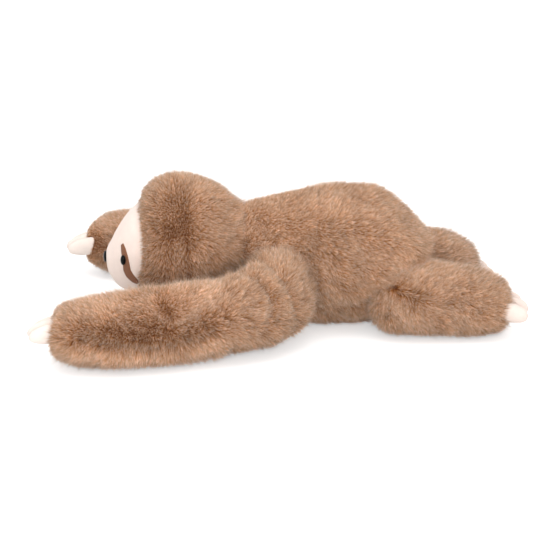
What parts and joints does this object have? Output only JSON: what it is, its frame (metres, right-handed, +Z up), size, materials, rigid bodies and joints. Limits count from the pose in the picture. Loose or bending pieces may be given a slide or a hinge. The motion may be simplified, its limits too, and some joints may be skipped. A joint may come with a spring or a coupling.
{
  "type": "plush sloth",
  "caption": "Plush sloth lying on its belly with long arms reaching forwards, cream face with dark eye stripes, and stuffed felt claws.",
  "frame": {"origin": "centre of the bounding box in plan, at the flat of the belly on the table", "axes": "+X from head to tail end, +Z up, -Y the toy's own left side, which the picture shows"},
  "size_m": [0.565, 0.3872, 0.1698],
  "materials": {
    "brown_fur": "long soft pile",
    "face_velboa": "short pile",
    "stripe_velboa": "short pile",
    "claw_felt": "short pile",
    "black_plastic": "gloss",
    "washer_plastic": "matte",
    "fibre_fill": "loose fibre"
  },
  "bodies": {
    "torso": {"torso_cover": "brown_fur", "torso_stuffing": "fibre_fill"},
    "head": {"head_cover": "brown_fur", "face_panel": "face_velboa", "head_stuffing": "fibre_fill", "eye_patch_l": "stripe_velboa", "eye_l": "black_plastic", "eye_washer_l": "washer_plastic", "eye_patch_r": "stripe_velboa", "eye_r": "black_plastic", "eye_washer_r": "washer_plastic", "nose": "black_plastic", "nose_washer": "washer_plastic"},
    "upper_arm_l": {"upper_arm_cover_l": "brown_fur", "upper_arm_stuffing_l": "fibre_fill"},
    "forearm_l": {"forearm_cover_l": "brown_fur", "forearm_stuffing_l": "fibre_fill", "hand_claw_l1": "claw_felt", "hand_claw_l2": "claw_felt", "hand_claw_l3": "claw_felt"},
    "leg_l": {"leg_cover_l": "brown_fur", "leg_stuffing_l": "fibre_fill", "foot_claw_l1": "claw_felt", "foot_claw_l2": "claw_felt", "foot_claw_l3": "claw_felt"},
    "upper_arm_r": {"upper_arm_cover_r": "brown_fur", "upper_arm_stuffing_r": "fibre_fill"},
    "forearm_r": {"forearm_cover_r": "brown_fur", "forearm_stuffing_r": "fibre_fill", "hand_claw_r1": "claw_felt", "hand_claw_r2": "claw_felt", "hand_claw_r3": "claw_felt"},
    "leg_r": {"leg_cover_r": "brown_fur", "leg_stuffing_r": "fibre_fill", "foot_claw_r1": "claw_felt", "foot_claw_r2": "claw_felt", "foot_claw_r3": "claw_felt"}
  },
  "joints": [
    {"name": "neck_turn", "type": "hinge", "parent": "torso", "child": "head", "pos_m": [-0.088, 0, 0.087], "axis": [0, 0, 1], "range_deg": [-20, 20]},
    {"name": "shoulder_lift_l", "type": "hinge", "parent": "torso", "child": "upper_arm_l", "pos_m": [-0.006, -0.062, 0.069], "axis": [0, 1, 0], "range_deg": [0, 80]},
    {"name": "elbow_swing_l", "type": "hinge", "parent": "upper_arm_l", "child": "forearm_l", "pos_m": [-0.08, -0.133, 0.0455], "axis": [0, 0, 1], "range_deg": [-8, 45]},
    {"name": "hip_splay_l", "type": "hinge", "parent": "torso", "child": "leg_l", "pos_m": [0.137, -0.056, 0.0425], "axis": [0, 0, -1], "range_deg": [-5, 40]},
    {"name": "shoulder_lift_r", "type": "hinge", "parent": "torso", "child": "upper_arm_r", "pos_m": [-0.006, 0.062, 0.069], "axis": [0, 1, 0], "range_deg": [0, 80]},
    {"name": "elbow_swing_r", "type": "hinge", "parent": "upper_arm_r", "child": "forearm_r", "pos_m": [-0.08, 0.133, 0.0455], "axis": [0, 0, -1], "range_deg": [-8, 45]},
    {"name": "hip_splay_r", "type": "hinge", "parent": "torso", "child": "leg_r", "pos_m": [0.137, 0.056, 0.0425], "axis": [0, 0, 1], "range_deg": [-5, 40]}
  ]
}
